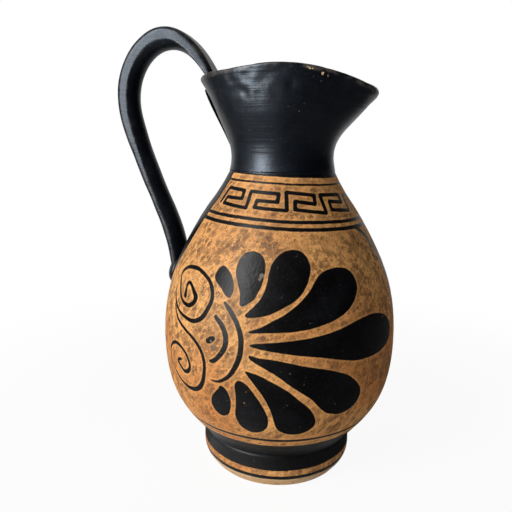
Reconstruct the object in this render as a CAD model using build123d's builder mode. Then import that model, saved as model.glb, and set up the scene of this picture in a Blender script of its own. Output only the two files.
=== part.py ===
"""Oinochoe jug: a thrown body on a ring foot, a neck with a pulled spout, and a high strap handle.

The origin is the centre of the ring that the jug stands on. +Z is up, +X points to the spout and the
handle is at -X. All sizes are in millimetres.
"""

import os
from math import cos, radians

from build123d import *

# Slip that joins the pieces, and the play in the turned seats
slip = 0.6
seat_play = 0.3

# Foot: a ring with a flat top, a rounded edge and a hollow underneath
foot_height = 20.9
foot_radius = 44.2
foot_widest_height = 16.0
foot_top_radius = 42.6
foot_low_radius = 43.2
foot_low_height = 4.5
rest_outer_radius = 39.8
rest_inner_radius = 34.0
foot_bore_radius = 30.0
boss_depth = 2.5

# Body: radii of the outside, with their heights above the body's base or their drops below its top
base_radius = 44.9
low_belly_radius = 60.9
low_belly_height = 22.5
belly_radius = 67.1
belly_height = 54.0
shoulder_radius = 56.0
shoulder_drop = 43.6
collar_radius = 40.9
collar_drop = 17.7
body_height = 149.1
body_wall = 5.0
body_floor = 6.5

# Neck: heights above its joint with the body
joint_radius = 29.5
waist_radius = 28.6
waist_height = 8.4
bore_radius = 24.0
spigot_wall = 3.1
spigot_ledge = 0.5
spigot_depth = 5.0
lip_wall = 4.0
lip_round_share = 0.3

# Flare of the mouth: radii towards the handle, to the sides and towards the spout
throat_height = 19.4
throat_back, throat_side, throat_spout = 31.4, 31.4, 32.2
flare_height = 29.4
flare_back, flare_side, flare_spout = 36.0, 35.7, 41.0
flange_height = 39.4
flange_back, flange_side, flange_spout = 40.8, 38.2, 49.6
lip_height = 50.4
lip_back, lip_side, lip_spout = 48.0, 39.8, 57.0
crest_height = 62.0
crest_back, crest_side, crest_spout = 53.0, 41.0, 64.5
spout_power = 5
outline_points = 16

# Rim line seen from the side: heights above the joint, and places along X
rim_back_height, rim_back_x = 48.1, -46.0
rim_rear_height, rim_rear_x = 50.0, -26.0
rim_top_height, rim_top_x = 52.3, 8.0
rim_front_height, rim_front_x = 49.4, 30.0
rim_spout_height, rim_spout_x = 42.3, 49.5

# Handle: a strap in the plane of the spout, flat outside with rounded corners and bulging inside,
# its middle line measured from where it crosses the back of the rim
handle_inset = 6.1
arch_front_reach, arch_front_rise = 7.6, 12.6
arch_reach, arch_rise = 28.2, 23.5
arch_rear_reach, arch_rear_rise = 42.5, 16.2
handle_reach, handle_drop = 52.4, 5.9
handle_bow_high, handle_bow_low = 3.5, 1.6
handle_landing_height = 107.5
handle_landing_gap = 9.0
handle_end_height = 88.5
tongue_width, top_width, root_width = 16.0, 15.0, 18.0
tongue_thickness, front_thickness, top_thickness = 5.0, 7.0, 12.4
reach_thickness, root_thickness, end_thickness = 11.2, 9.6, 5.0
tongue_side, top_side, root_side = 4.0, 7.0, 3.8
handle_edge_round = 3.0
handle_sections = 12

# Clay pads at the handle's ends: the lower one's middle is a little above the strap's end
tail_width = 20.0
tail_thickness = 1.1
pad_rise = 0.2
pad_length = 17.0
pad_width = 25.0
pad_thickness = 4.2

# Levels and seats that the pieces share
base_z = foot_height + slip
joint_z = base_z + body_height
neck_z = joint_z + slip
boss_radius = foot_bore_radius - seat_play
spigot_radius = bore_radius + spigot_wall
step_radius = spigot_radius + seat_play
cut_margin = 20.0


def body_points(inset):
    """Points of the body's side from the low belly up to the collar, moved in by a wall."""
    return [
        (low_belly_radius - inset, base_z + low_belly_height),
        (belly_radius - inset, base_z + belly_height),
        (shoulder_radius - inset, joint_z - shoulder_drop),
        (collar_radius - inset, joint_z - collar_drop),
    ]


def mouth_points(back, side, spout):
    """Points of a level outline of the neck, round at the back and drawn out to the spout."""
    points = []
    for step in range(outline_points):
        turn = 180 + step * 360 / outline_points
        towards = cos(radians(turn))
        if towards > 0:
            radius = side + (spout - side) * towards**spout_power
        else:
            radius = side + (back - side) * towards**2
        points.append(Vector(radius, 0).rotate(Axis.Z, turn))
    return points


def between(stations, share):
    """Value at a share of the handle's length, straight between (share, value) stations."""
    for (low, first), (high, last) in zip(stations, stations[1:]):
        if share <= high:
            return first + (last - first) * (share - low) / (high - low)
    return stations[-1][1]


# Foot ring
with BuildPart() as foot:
    with BuildSketch(Plane.XZ):
        with BuildLine():
            Line((rest_inner_radius, 0), (rest_outer_radius, 0))
            Spline(
                (rest_outer_radius, 0),
                (foot_low_radius, foot_low_height),
                (foot_radius, foot_widest_height),
                tangents=[(0.6, 0.8), (0, 1)],
            )
            Spline(
                (foot_radius, foot_widest_height),
                (foot_top_radius, foot_height),
                tangents=[(0, 1), (-1, 0)],
            )
            Polyline(
                (foot_top_radius, foot_height),
                (foot_bore_radius, foot_height),
                (rest_inner_radius, 0),
            )
        make_face()
    revolve(axis=Axis.Z)
foot.part.label = "foot"

# Slip between the foot and the body
with BuildPart() as foot_luting:
    with BuildSketch(Plane.XY.offset(foot_height)):
        Circle(base_radius)
        Circle(foot_bore_radius, mode=Mode.SUBTRACT)
    extrude(amount=slip)
foot_luting.part.label = "foot_luting"

# Side of the body, which the handle's lower end also follows
with BuildLine() as side_line:
    Spline(
        (base_radius, base_z),
        *body_points(0),
        (joint_radius, joint_z),
        tangents=[(0.62, 0.78), (-0.5, 0.87)],
    )


def side_share(height):
    """Share of the body's side line at a height above the base, found by halving."""
    low, high = 0.0, 1.0
    while high - low > 1e-7:
        middle = (low + high) / 2
        if (side_line.line @ middle).Y < base_z + height:
            low = middle
        else:
            high = middle
    return low


# Body, with a boss that centres it in the foot and a step for the neck's spigot
with BuildPart() as body:
    with BuildSketch(Plane.XZ):
        with BuildLine():
            Polyline(
                (0, base_z - boss_depth),
                (boss_radius, base_z - boss_depth),
                (boss_radius, base_z),
                (base_radius, base_z),
            )
            add(side_line.line)
            Polyline(
                (joint_radius, joint_z),
                (step_radius, joint_z),
                (step_radius, joint_z - spigot_depth),
                (bore_radius, joint_z - spigot_depth),
            )
            Spline(
                (bore_radius, joint_z - spigot_depth),
                *reversed(body_points(body_wall)),
                (base_radius - body_wall, base_z + body_floor),
            )
            Polyline(
                (base_radius - body_wall, base_z + body_floor),
                (0, base_z + body_floor),
                (0, base_z - boss_depth),
            )
        make_face()
    revolve(axis=Axis.Z)
body.part.label = "body"

# Slip between the body and the neck
with BuildPart() as neck_luting:
    with BuildSketch(Plane.XY.offset(joint_z)):
        Circle(joint_radius)
        Circle(spigot_radius, mode=Mode.SUBTRACT)
    extrude(amount=slip)
neck_luting.part.label = "neck_luting"

# Neck and mouth: height, radius at the back, at the sides and at the spout, and wall of each level
neck_bore = bore_radius + spigot_ledge
neck_wall = waist_radius - neck_bore
neck_levels = [
    (0, joint_radius, joint_radius, joint_radius, joint_radius - neck_bore),
    (waist_height, waist_radius, waist_radius, waist_radius, neck_wall),
    (throat_height, throat_back, throat_side, throat_spout, neck_wall),
    (flare_height, flare_back, flare_side, flare_spout, neck_wall),
    (flange_height, flange_back, flange_side, flange_spout, lip_wall),
    (lip_height, lip_back, lip_side, lip_spout, lip_wall),
    (crest_height, crest_back, crest_side, crest_spout, lip_wall),
]
rim_points = [
    (rim_back_x - cut_margin, neck_z + rim_back_height - cut_margin),
    (rim_back_x, neck_z + rim_back_height),
    (rim_rear_x, neck_z + rim_rear_height),
    (rim_top_x, neck_z + rim_top_height),
    (rim_front_x, neck_z + rim_front_height),
    (rim_spout_x, neck_z + rim_spout_height),
    (rim_spout_x + cut_margin, neck_z + rim_spout_height - 2 * cut_margin),
]
cut_top = neck_z + crest_height + cut_margin
with BuildPart() as neck_blank:
    for height, back, side, spout, wall in neck_levels:
        with BuildSketch(Plane.XY.offset(neck_z + height)):
            with BuildLine():
                Spline(*mouth_points(back, side, spout), periodic=True)
            make_face()
    loft()
    with BuildSketch(Plane.XY.offset(neck_z - spigot_depth)):
        Circle(spigot_radius)
    extrude(amount=spigot_depth)
    for height, back, side, spout, wall in neck_levels:
        with BuildSketch(Plane.XY.offset(neck_z + height)):
            with BuildLine():
                Spline(*mouth_points(back - wall, side - wall, spout - wall), periodic=True)
            make_face()
    loft(mode=Mode.SUBTRACT)
    with BuildSketch(Plane.XY.offset(neck_z - spigot_depth)):
        Circle(bore_radius)
    extrude(amount=spigot_depth, mode=Mode.SUBTRACT)
    with BuildSketch(Plane.XZ):
        with BuildLine():
            Spline(*rim_points)
            Polyline(
                rim_points[-1],
                (rim_points[-1][0], cut_top),
                (rim_points[0][0], cut_top),
                rim_points[0],
            )
        make_face()
    extrude(amount=2 * crest_side, both=True, mode=Mode.SUBTRACT)

# Neck with its rim rounded, after the handle has been cut to the square rim
with BuildPart() as neck:
    add(neck_blank.part)
    rim_halves = neck.faces().sort_by(Axis.Z)[-2:]
    fillet(
        rim_halves.edges().filter_by(lambda edge: edge.length > 4 * lip_wall),
        lip_wall * lip_round_share,
    )
neck.part.label = "neck"


def off_side(height, gap):
    """Point on the handle's side of the body, at a height above the base and a gap outside its wall."""
    point = side_line.line @ side_share(height)
    return (-point.X - gap, point.Y)


# Centre line of the handle, from its tongue inside the lip over the arch and down to the shoulder
cross_x = rim_back_x + handle_inset
cross_z = neck_z + rim_back_height
reach_x, reach_z = cross_x - handle_reach, cross_z - handle_drop
landing_x, landing_z = off_side(handle_landing_height, handle_landing_gap)
with BuildLine(Plane.XZ) as handle_line:
    Spline(
        (lip_wall - flange_back, neck_z + flange_height),
        (cross_x, cross_z),
        (cross_x - arch_front_reach, cross_z + arch_front_rise),
        (cross_x - arch_reach, cross_z + arch_rise),
        (cross_x - arch_rear_reach, cross_z + arch_rear_rise),
        (reach_x, reach_z),
        ((2 * reach_x + landing_x) / 3 - handle_bow_high, (2 * reach_z + landing_z) / 3),
        ((reach_x + 2 * landing_x) / 3 - handle_bow_low, (reach_z + 2 * landing_z) / 3),
        (landing_x, landing_z),
        off_side((handle_landing_height + handle_end_height) / 2, handle_landing_gap / 3),
        off_side(handle_end_height, 0),
    )
handle_widths = [(0, tongue_width), (0.15, top_width), (0.5, top_width), (1, root_width)]
handle_thicknesses = [
    (0, tongue_thickness),
    (0.12, front_thickness),
    (0.25, top_thickness),
    (0.5, reach_thickness),
    (0.7, root_thickness),
    (0.92, root_thickness),
    (1, end_thickness),
]
handle_sides = [(0, tongue_side), (0.2, top_side), (0.45, top_side), (0.75, root_side), (1, root_side)]

# Handle, cut to stand on the rim and to lie on the shoulder
with BuildPart() as handle:
    for section in range(handle_sections + 1):
        share = section / handle_sections
        half_width = between(handle_widths, share) / 2
        inner = between(handle_thicknesses, share) / 2
        ridge = between(handle_sides, share) - inner
        across = Plane(
            handle_line.line @ share, x_dir=(0, 1, 0), z_dir=handle_line.line % share
        )
        with BuildSketch(across) as strap:
            with BuildLine():
                Polyline(
                    (half_width, ridge),
                    (half_width, -inner),
                    (-half_width, -inner),
                    (-half_width, ridge),
                )
                ThreePointArc((-half_width, ridge), (0, inner), (half_width, ridge))
            make_face()
            fillet(strap.vertices().group_by(Axis.Y)[0], handle_edge_round)
    loft()
    add(neck_blank.part, mode=Mode.SUBTRACT)
    add(body.part, mode=Mode.SUBTRACT)
handle.part.label = "handle"

# Clay smeared down the outside of the neck's back, under the handle: height, radius there, share of size
tail_levels = [
    ((waist_height + throat_height) / 2, (waist_radius + throat_back) / 2, 0.3),
    ((throat_height + flare_height) / 2, (throat_back + flare_back) / 2, 0.8),
    ((flare_height + flange_height) / 2, (flare_back + flange_back) / 2, 1.0),
    ((flange_height + rim_back_height) / 2, (flange_back + lip_back) / 2, 0.4),
]
with BuildPart() as handle_tail:
    for height, radius, share in tail_levels:
        with BuildSketch(Plane.XY.offset(neck_z + height)):
            with Locations((-radius, 0)):
                Ellipse(tail_thickness * share, tail_width / 2 * share)
    loft()
    add(neck_blank.part, mode=Mode.SUBTRACT)
handle_tail.part.label = "handle_tail"

# Thumbed pad round the handle's lower end
pad_share = side_share(handle_end_height + pad_rise)
pad_centre = side_line.line @ pad_share
pad_slope = side_line.line % pad_share
pad_levels = [(-0.5, 0.25), (-0.3, 0.8), (0.0, 1.0), (0.3, 0.85), (0.5, 0.3)]
with BuildPart() as handle_root:
    for along, share in pad_levels:
        level = Plane(
            (
                -pad_centre.X - pad_slope.X * along * pad_length,
                0,
                pad_centre.Y + pad_slope.Y * along * pad_length,
            ),
            x_dir=(0, 1, 0),
            z_dir=(-pad_slope.X, 0, pad_slope.Y),
        )
        with BuildSketch(level):
            Ellipse(pad_width / 2 * share, pad_thickness * share)
    loft()
    add(body.part, mode=Mode.SUBTRACT)
    add(handle.part, mode=Mode.SUBTRACT)
handle_root.part.label = "handle_root"

os.makedirs("parts", exist_ok=True)
for piece in (foot, foot_luting, body, neck_luting, neck, handle, handle_tail, handle_root):
    export_step(piece.part, f"parts/{piece.part.label}.step")
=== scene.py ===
"""Looks of a painted pottery jug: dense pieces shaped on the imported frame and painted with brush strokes."""

import math

import bmesh
import bpy
import numpy as np
from mathutils import Matrix, Vector, noise
from mathutils.bvhtree import BVHTree


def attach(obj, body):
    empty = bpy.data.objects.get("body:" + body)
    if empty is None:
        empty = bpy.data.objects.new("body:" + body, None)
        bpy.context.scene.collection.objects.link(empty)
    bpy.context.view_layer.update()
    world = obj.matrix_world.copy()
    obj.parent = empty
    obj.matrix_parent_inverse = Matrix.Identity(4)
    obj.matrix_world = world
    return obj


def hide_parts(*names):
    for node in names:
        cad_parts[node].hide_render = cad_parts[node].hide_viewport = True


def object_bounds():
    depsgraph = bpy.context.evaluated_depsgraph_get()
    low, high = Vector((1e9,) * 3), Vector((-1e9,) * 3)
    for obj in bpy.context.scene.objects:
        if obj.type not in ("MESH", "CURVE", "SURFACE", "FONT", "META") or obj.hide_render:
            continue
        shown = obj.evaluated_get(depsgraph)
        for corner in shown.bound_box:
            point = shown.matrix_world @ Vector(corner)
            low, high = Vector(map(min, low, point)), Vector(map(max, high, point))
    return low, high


# Metres in a millimetre, and the metres within which points are welded.
MM = 0.001
WELD = 0.000001

# What counts as none: a radius, a step and a gap to the wall in millimetres, and a squared length.
ON_AXIS = 1e-3
SAME_PLACE = 1e-4
ON_WALL = 0.05
NO_LENGTH_SQUARED = 1e-9

# Places of the colour sockets on a mix node.
MIX_FIRST, MIX_SECOND, MIX_RESULT = 6, 7, 2

# Camera: where it stands and how it is turned, in millimetres, and its lens.
CAMERA_EYE = (60.69, -285.53, 185.12)
CAMERA_RIGHT = (0.96618, 0.25752, 0.01323)
CAMERA_DOWN = (0.06717, -0.20183, -0.97711)
CAMERA_FORWARD = (-0.24896, 0.94496, -0.2123)
CAMERA_LENS = 36.0
CAMERA_SENSOR = 36.0

# Mesh density: segments and rows by number, steps and voxels in millimetres.
BODY_SEGMENTS = 584
BODY_OUTER_ROWS = 148
BODY_OTHER_STEP = 14.0
FOOT_SEGMENTS = 360
FOOT_STEP = 0.9
LUTING_SEGMENTS = 360
LUTING_STEP = 0.5
NECK_VOXEL = 0.8
HANDLE_VOXEL = 0.6
TAIL_VOXEL = 0.3

# Angles in degrees from which a section has a corner, and a mesh a sharp edge.
CORNER_ANGLE = 35.0
SHARP_ANGLE = 45.0

# Rounds of smoothing that edges are measured against, for dense and for turned pieces.
EDGE_ROUNDS = 6
TURNED_EDGE_ROUNDS = 2

# Painted lines on the body: height on the axis and half of the thickness, in millimetres. The upper ones
# lean down towards the spout, and so does the lower edge of the neck's black.
UPPER_LINES = ((166.3, 0.5), (149.0, 0.8), (145.7, 0.88))
NECK_BLACK_EDGE = 169.6
LINE_LEAN = 0.036
BELLY_LINE = (38.4, 1.0)
BASE_BLACK_TOP = 33.1

# The painting's chart: distance round the belly from the middle of the side, and distance
# along the side from this height, both in millimetres; then the brush's step and the paint's reach.
CHART_HEIGHT = 77.0
STROKE_STEP = 0.7
PAINT_REACH = 4.0

# Outlines of the palmette's petals, from the upper left one round to the lower left one: (round, along).
PETALS = (
    ((-16.9, 51.8), (-13.8, 50.0), (-11.3, 46.9), (-10.0, 43.1), (-10.1, 39.4), (-11.2, 36.9),
     (-12.7, 36.7), (-14.7, 38.1), (-16.9, 40.6), (-20.0, 43.1), (-21.6, 45.3), (-20.9, 48.1),
     (-19.4, 50.6)),
    ((-1.5, 60.5), (1.6, 59.4), (3.8, 56.6), (4.8, 52.5), (4.6, 48.0), (3.9, 44.0), (2.4, 40.0),
     (0.8, 37.0), (-1.9, 34.9), (-4.4, 33.4), (-6.0, 34.0), (-6.2, 37.0), (-6.6, 40.0), (-8.1, 44.3),
     (-9.5, 48.0), (-9.8, 51.5), (-8.8, 55.6), (-6.6, 58.9), (-4.2, 60.3)),
    ((17.7, 62.0), (21.5, 60.8), (24.6, 57.4), (26.4, 53.4), (26.6, 49.5), (25.6, 44.8), (23.1, 40.0),
     (20.0, 36.9), (14.9, 33.7), (9.0, 30.6), (3.6, 29.0), (-1.5, 28.3), (-3.1, 29.2), (-1.2, 31.6),
     (0.9, 33.7), (3.4, 36.9), (5.0, 40.0), (6.2, 44.5), (6.6, 49.0), (7.1, 53.0), (8.3, 56.2),
     (10.6, 59.5), (13.8, 61.5)),
    ((40.5, 52.3), (45.9, 51.3), (49.8, 49.0), (53.0, 45.1), (54.4, 41.2), (53.4, 36.9), (50.6, 32.6),
     (46.7, 29.5), (41.3, 27.1), (35.0, 25.2), (28.8, 23.8), (21.7, 22.8), (13.9, 22.2), (6.0, 21.7),
     (0.0, 21.1), (-0.7, 22.0), (5.2, 24.4), (10.0, 27.3), (13.9, 29.5), (17.8, 32.2), (21.7, 35.5),
     (24.8, 38.8), (27.6, 42.7), (29.5, 46.6), (31.6, 49.6), (35.2, 51.5)),
    ((0.1, 15.8), (5.2, 16.7), (15.0, 17.9), (25.0, 19.1), (35.0, 20.5), (45.0, 22.6), (50.0, 24.0),
     (55.0, 25.3), (60.0, 26.0), (65.0, 26.3), (70.0, 25.8), (75.0, 24.6), (79.5, 22.8), (83.4, 20.5),
     (87.0, 17.0), (88.4, 13.8), (87.0, 9.5), (83.4, 7.2), (79.5, 6.0), (75.0, 5.2), (65.0, 4.7),
     (55.0, 5.2), (50.0, 6.3), (45.0, 7.4), (35.0, 9.7), (25.0, 11.1), (15.0, 12.5), (5.2, 13.8),
     (0.6, 14.8)),
    ((0.1, 10.5), (5.2, 9.5), (10.0, 9.3), (15.0, 8.6), (20.0, 7.6), (25.0, 6.4), (30.0, 5.3), (35.0, 4.2),
     (40.0, 2.9), (45.0, 1.1), (50.0, -1.0), (53.8, -3.8), (56.9, -6.9), (59.4, -10.8), (59.6, -14.7),
     (57.7, -18.6), (54.5, -21.3), (50.6, -22.9), (46.7, -23.4), (42.8, -22.6), (38.9, -20.9),
     (35.4, -17.4), (32.7, -13.9), (30.0, -11.0), (25.0, -7.3), (20.0, -3.7), (15.0, 0.2), (10.0, 3.3),
     (5.2, 5.8), (0.4, 8.6)),
    ((-1.9, 2.3), (1.3, 1.8), (5.2, 0.8), (10.0, -1.4), (15.0, -4.1), (20.0, -7.3), (25.0, -12.0),
     (29.4, -16.3), (32.1, -20.9), (33.1, -25.2), (32.4, -28.6), (29.8, -31.5), (26.3, -33.6),
     (21.6, -34.4), (17.7, -33.6), (14.5, -31.4), (13.0, -28.7), (12.2, -24.8), (11.3, -20.2),
     (10.2, -16.6), (8.3, -12.3), (5.5, -7.7), (2.0, -3.0), (-0.9, 0.6)),
    ((-5.0, -3.1), (-1.1, -4.5), (2.0, -8.0), (4.8, -12.0), (7.1, -16.3), (8.9, -20.5), (9.5, -24.8),
     (8.7, -28.8), (6.3, -32.3), (2.8, -34.1), (-0.3, -34.1), (-3.8, -31.9), (-5.8, -29.1), (-7.2, -24.8),
     (-7.2, -20.2), (-6.6, -15.5), (-6.7, -10.0), (-7.0, -5.7)),
    ((-14.0, -7.7), (-11.3, -9.6), (-9.5, -13.9), (-9.3, -17.8), (-10.1, -21.7), (-11.6, -24.5),
     (-14.4, -26.0), (-17.1, -25.2), (-19.8, -22.5), (-20.9, -19.4), (-20.2, -15.5), (-18.3, -12.3),
     (-15.9, -9.6), (-15.4, -8.2)),
)

# The palmette's heart, as outer arc, inner arc and dot: (round, along, half width).
HEART = (
    ((-14.0, 34.1, 0.7), (-10.9, 31.0, 1.3), (-7.7, 26.7, 1.3), (-5.4, 22.4, 1.3), (-4.1, 17.3, 1.4),
     (-4.2, 11.9, 1.4), (-5.2, 7.2, 1.4), (-7.3, 2.5, 1.3), (-10.1, -1.8, 1.1), (-14.0, -4.9, 0.9),
     (-17.5, -6.3, 0.7), (-20.6, -6.3, 0.5)),
    ((-18.3, 26.3, 1.2), (-15.2, 23.6, 1.4), (-12.8, 19.7, 1.5), (-12.0, 15.4, 1.5), (-13.2, 11.1, 1.4),
     (-15.9, 7.2, 1.3), (-18.7, 4.5, 1.2), (-20.6, 3.9, 0.9)),
    ((-22.8, 13.6, 1.2), (-21.0, 14.6, 1.7), (-19.2, 15.8, 1.1)),
)

# The double scroll beside the palmette, as the upper spiral and the line that runs down into the lower one:
# (round, along, half width).
SCROLLS = (
    ((-42.4, 32.3, 1.5), (-42.2, 35.9, 0.9), (-41.8, 38.1, 1.0), (-40.0, 39.4, 0.9), (-37.8, 38.4, 1.0),
     (-35.3, 35.9, 1.3), (-33.1, 33.4, 1.7), (-34.1, 30.6, 1.3), (-36.3, 28.8, 1.2), (-39.1, 27.9, 1.1),
     (-42.5, 28.3, 1.0), (-45.6, 29.7, 0.9), (-47.8, 32.5, 0.9), (-49.1, 35.6, 0.9), (-50.3, 38.8, 0.9),
     (-50.9, 41.3, 0.8), (-49.4, 43.3, 0.8), (-46.3, 45.5, 0.9), (-42.5, 46.9, 1.0), (-37.5, 47.5, 1.1),
     (-33.1, 47.2, 1.1), (-28.8, 45.6, 1.1), (-25.0, 43.4, 1.1), (-22.8, 40.6, 1.2), (-21.6, 36.9, 1.2),
     (-22.0, 33.1, 1.2), (-24.1, 28.8, 1.3), (-26.6, 25.0, 1.3), (-30.0, 22.4, 1.2), (-34.4, 21.1, 1.1),
     (-39.4, 21.4, 1.0), (-43.8, 22.2, 0.9), (-47.5, 23.4, 0.9), (-50.6, 25.6, 0.9), (-52.8, 28.1, 0.8),
     (-54.1, 31.3, 0.6), (-54.5, 34.4, 0.4)),
    ((-52.5, 25.0, 0.6), (-50.0, 21.3, 0.8), (-46.9, 18.4, 0.9), (-42.5, 16.3, 0.9), (-37.5, 14.4, 0.9),
     (-33.1, 12.5, 1.0), (-29.4, 10.0, 1.0), (-26.6, 6.9, 1.1), (-25.0, 3.1, 1.1), (-24.6, -0.6, 1.1),
     (-25.0, -5.0, 1.2), (-25.9, -8.8, 1.3), (-27.8, -12.2, 1.4), (-30.6, -14.7, 1.3), (-34.1, -15.9, 1.2),
     (-38.1, -16.1, 1.0), (-41.9, -15.3, 0.8), (-46.3, -13.8, 0.7), (-50.6, -11.3, 0.5), (-53.8, -8.8, 0.4),
     (-56.3, -5.6, 0.4), (-57.2, -2.5, 0.5), (-56.9, 0.0, 0.7), (-55.0, 2.5, 0.9), (-52.5, 4.4, 1.0),
     (-48.8, 5.6, 1.0), (-45.0, 5.3, 1.0), (-41.3, 4.1, 0.9), (-38.1, 1.9, 0.9), (-36.3, -0.9, 0.9),
     (-35.5, -2.5, 1.0), (-35.9, -5.0, 1.1), (-37.8, -6.9, 1.2), (-40.6, -7.8, 1.0), (-43.4, -6.6, 0.8),
     (-45.6, -5.3, 0.8), (-46.9, -3.8, 0.9), (-45.3, -2.5, 0.9), (-43.1, -2.0, 0.6)),
)

# Scuffs in the painting: (round, along, radius).
SCUFFS = ((3.6, 48.8, 1.1), (2.8, 47.2, 0.8), (-20.7, 14.0, 0.6), (23.4, -12.8, 0.3), (-19.0, 11.3, 0.9))

# The key pattern on the shoulder, one broken line from the handle's side to the spout: (round, along).
KEY_PATTERN = (
    (-29.5, 85.3), (-24.8, 94.0), (-12.9, 93.1), (-13.7, 88.3), (-24.3, 88.5), (-26.4, 84.8), (-10.2, 83.2),
    (-8.7, 92.8), (5.9, 92.0), (6.0, 87.3), (-4.7, 87.9), (-5.5, 83.8), (11.3, 82.6), (9.5, 93.0),
    (24.6, 91.3), (25.7, 86.2), (14.7, 88.0), (15.2, 83.2), (33.0, 80.9), (28.1, 91.4), (43.0, 90.8),
    (45.6, 86.2), (34.6, 87.5), (36.7, 82.5), (52.5, 81.0), (48.6, 90.0), (58.0, 89.4),
)
KEY_HALF_WIDTH = 1.05

# Black ground under the handle: height and half angle either side of the handle's line.
HANDLE_GROUND = (
    (98.0, 0.0), (101.0, 9.0), (108.0, 17.0), (118.0, 25.0), (128.0, 32.0), (136.0, 34.5), (146.0, 37.0),
    (158.0, 39.5), (171.0, 41.0),
)

# Line under the spout that parts the painted sides: height and angle from the spout's line; half thickness.
DIVIDER = (
    (38.5, 0.8), (105.0, 0.9), (118.0, 1.8), (126.0, 3.5), (132.5, 6.5), (137.0, 10.0), (140.5, 14.0),
    (144.4, 20.8),
)
DIVIDER_HALF = 2.4

# Foot: heights of the clay band's two edges and of the bare edge's top, in millimetres.
FOOT_BANDS = (11.8, 8.4, 6.2)

# Chips in the neck's slip: place and radius, in millimetres.
NECK_CHIPS = (
    (18.3, -35.7, 221.1, 0.35), (19.6, -35.1, 220.7, 0.5), (20.9, -34.4, 220.4, 0.5),
    (22.2, -33.8, 220.0, 0.35), (25.3, -32.0, 218.4, 0.75), (27.6, -30.7, 217.6, 0.4),
    (21.8, -32.5, 212.7, 0.3), (14.6, -32.7, 201.3, 0.3), (-14.0, 37.5, 220.0, 0.6),
    (22.0, 33.8, 219.6, 0.5), (4.0, 36.5, 210.0, 0.3),
)

# Finger dents under the rim: place, radius and depth, in millimetres.
NECK_FINGERS = (
    (-17.0, -35.2, 213.0, 6.0, 0.32), (-2.1, -38.8, 215.1, 5.0, 0.3), (11.1, -36.7, 213.3, 4.0, 0.35),
    (-8.4, -39.3, 221.0, 4.0, 0.2), (-11.7, -36.0, 208.7, 4.0, 0.25), (-6.0, 37.0, 214.0, 6.0, 0.3),
)

# The bead on the spout's lip: its middle from the tip and its half sizes, in millimetres, where it faces,
# how fast it sets in there, and how tightly it joins the neck.
BEAD_FROM_TIP = (-4.9, 0.0, 0.7)
BEAD_HALF = (4.5, 14.0, 4.3)
BEAD_HEADING = (1.0, 0.0, 0.3)
BEAD_FACING = 2
BEAD_POWER = 6

# The heel of the handle: how far it swells, how wide that is, its place, and where it faces.
HEEL_SWELL, HEEL_SWELL_SIZE = 1.9, 14.0
HEEL_PLACE = (-65.0, 0.0, 109.0)
HEEL_HEADING = (-1.0, 0.0, 0.0)

# How deep the hand-made unevenness goes, and how wide it is, in millimetres.
BODY_DENT, BODY_DENT_SIZE = 0.4, 34.0
BODY_RING, BODY_RING_SIZE = 0.07, 3.2
NECK_DENT, NECK_DENT_SIZE = 0.3, 16.0
NECK_RING, NECK_RING_SIZE = 0.09, 2.6
NECK_SMEAR, NECK_SMEAR_SIZE = 0.9, 3.6
HANDLE_DENT, HANDLE_DENT_SIZE = 0.3, 11.0
FOOT_DENT, FOOT_DENT_SIZE = 0.25, 14.0
JOINT_FADE = 5.0

# Noise of the dents: its middle, its swing, and how it is drawn out round the axis into wheel marks.
DENT_MIDDLE, DENT_SWING = 0.5, 0.75
RING_STRETCH = (0.05, 0.05, 1.0)

# The smeared zone under the rim: its reach down and up and soft ends, in millimetres; the smears' stretch,
# the share of their noise that stays flat, and the size of their patches.
RIM_DOWN, RIM_UP, RIM_SOFT = 22.0, 1.0, 6.0
NECK_SMEAR_STRETCH = (0.6, 0.6, 1.0)
NECK_SMEAR_FLAT = 0.3
NECK_SMEAR_PATCH = 20.0

# The neck is dented from here on towards the spout, and smooth behind, where the handle sits.
NECK_DENT_FROM = -30.0

# Colours, as linear red, green, blue and alpha.
CLAY_LIGHT = (0.84, 0.42, 0.135, 1)
CLAY_WARM = (0.66, 0.25, 0.062, 1)
CLAY_BROWN = (0.165, 0.072, 0.026, 1)
CLAY_SPECK = (0.06, 0.028, 0.013, 1)
CLAY_PALE = (0.62, 0.43, 0.24, 1)
SLIP_DEEP = (0.0016, 0.0017, 0.0021, 1)
SLIP_GREY = (0.0045, 0.005, 0.0062, 1)
SLIP_NIGHT = (0.0009, 0.0016, 0.0036, 1)
SLIP_BLUE = (0.0034, 0.0046, 0.0078, 1)
# Worn slip colour, also laid along the slip's edges as a painted highlight.
SLIP_WORN_AND_HIGHLIGHT = (0.10, 0.088, 0.075, 1)
SLIP_SHEEN = (0.76, 0.87, 1.0, 1)
SCUFF_GREY = (0.15, 0.125, 0.095, 1)

# Marks in the clay and the slip: lumps per metre, detail and roughness of their noise, the noise values
# where they begin and are full, and their shares there.
WARMTH = (18, 2, 0.55, 0.38, 0.66, 0.0, 1.0)
CLUSTERS = (55, 3, 0.6, 0.36, 0.58, 0.4, 1.0)
PATCHES = (190, 5, 0.65, 0.48, 0.55, 0.0, 0.68)
FLECKS = (420, 4, 0.62, 0.49, 0.60, 0.0, 0.4)
SPECKS = (620, 3, 0.6, 0.60, 0.66, 0.0, 0.8)
BRIGHT = (800, 2, 0.6, 0.56, 0.68, 0.0, 0.35)
GRAIN = (1300, 2, 0.6, 0.35, 0.65, 0.0, 0.4)
THIN_SLIP = (60, 4, 0.6, 0.42, 0.68, 0.0, 1.0)
DUST = (950, 2, 0.6, 0.55, 0.72, 0.0, 0.07)
SCRATCHES = (560, 3, 0.5, 0.69, 0.75, 0.0, 0.6)
FLAKES = (340, 3, 0.55, 0.73, 0.77, 0.0, 0.6)
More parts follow.
